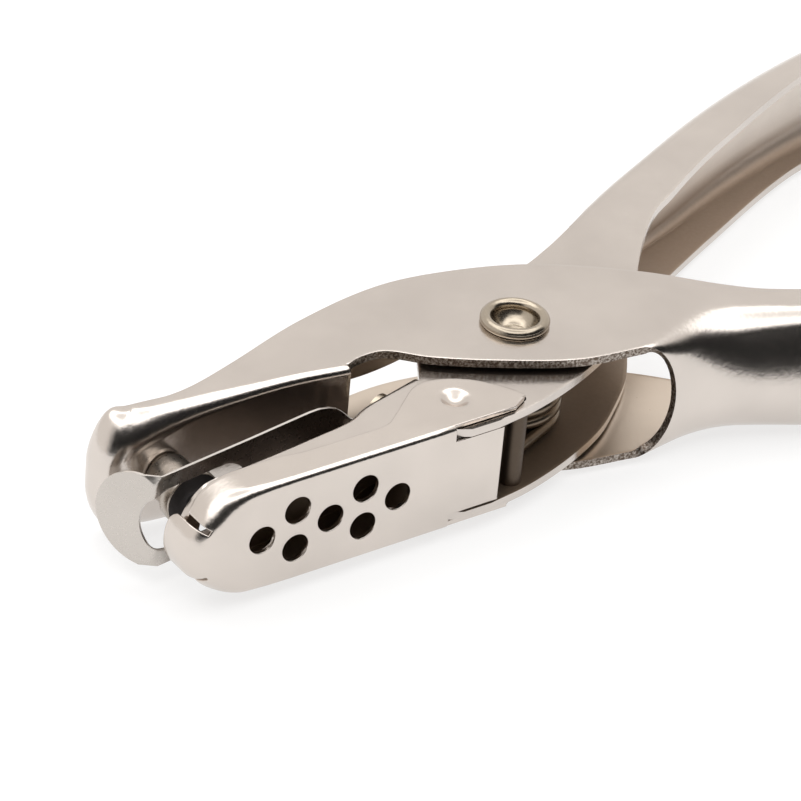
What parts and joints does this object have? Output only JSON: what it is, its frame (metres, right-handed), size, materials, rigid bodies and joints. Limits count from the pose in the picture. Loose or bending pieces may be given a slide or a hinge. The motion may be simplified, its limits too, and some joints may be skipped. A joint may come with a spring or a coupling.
{
  "type": "single-hole punch plier",
  "caption": "Sprung hand punch with two pressed steel levers, a round punch, a slotted stripper leaf and a hinged chip cover.",
  "frame": {"origin": "centre of the flat lower head of the pivot rivet, the face the tool rests on", "axes": "+Z along the pivot axis towards the rolled rivet rim, +X from the pivot towards the handles, jaws towards -X"},
  "size_m": [0.1346, 0.0584, 0.0138],
  "materials": {
    "nickel_lever": "bright nickel plate, fine grain",
    "nickel_cover": "bright nickel plate, fine grain",
    "leaf_steel": "satin spring steel",
    "rivet_steel": "nickel plate, worn on the rolled rim",
    "tool_steel": "hardened steel, dark ground end",
    "spring_steel": "drawn wire"
  },
  "bodies": {
    "die_lever": {"die_lever": "nickel_lever", "stripper_leaf": "leaf_steel", "leaf_rivets": "rivet_steel", "spring_post": "rivet_steel", "torsion_spring": "spring_steel"},
    "punch_lever": {"punch_lever": "nickel_lever", "punch": "tool_steel", "pivot_rivet": "rivet_steel"},
    "chip_cover": {"chip_cover": "nickel_cover"}
  },
  "joints": [
    {"name": "lever_swing", "type": "hinge", "parent": "die_lever", "child": "punch_lever", "pos_m": [0, 0, 0.0069], "axis": [0, 0, 1], "range_deg": [0, 6.1], "stiffness_Nm_per_rad": 0.4, "springref_deg": -34.38, "deforming": ["torsion_spring"]},
    {"name": "cover_swing", "type": "hinge", "parent": "die_lever", "child": "chip_cover", "pos_m": [-0.01164, -0.00711, 0.0069], "axis": [0, 0, 1], "range_deg": [0, 35]}
  ]
}
